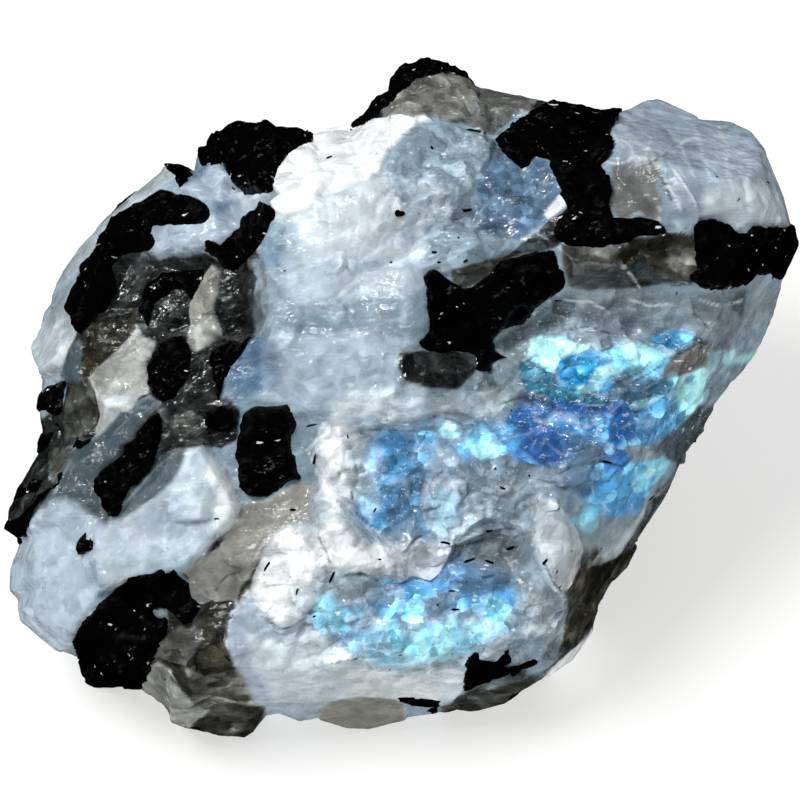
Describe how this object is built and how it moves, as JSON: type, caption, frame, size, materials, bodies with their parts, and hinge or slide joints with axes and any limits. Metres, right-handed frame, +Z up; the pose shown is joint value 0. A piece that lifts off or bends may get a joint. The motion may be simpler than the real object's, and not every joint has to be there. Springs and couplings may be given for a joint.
{
  "type": "rough moonstone",
  "caption": "Loose broken chunk of pale rainbow moonstone, milky to clear with blue flash, with black tourmaline crystals grown into it, resting on a flat broken face.",
  "frame": {"origin": "centre of the bounding box's bottom face, level with the flat broken face that the stone rests on", "axes": "+Z up, the show face looks towards -Y and leans back 50 degrees from upright to face up, +X to the right of someone looking at the show face"},
  "size_m": [0.056, 0.0418, 0.0359],
  "materials": {
    "feldspar": "milky to clear glassy feldspar with zones of white, pale blue, smoky grey and brown and patches of blue and cyan flash",
    "tourmaline": "glossy black tourmaline with chipped and striated faces"
  },
  "bodies": {
    "root": {"rough_moonstone": "feldspar"}
  },
  "joints": []
}
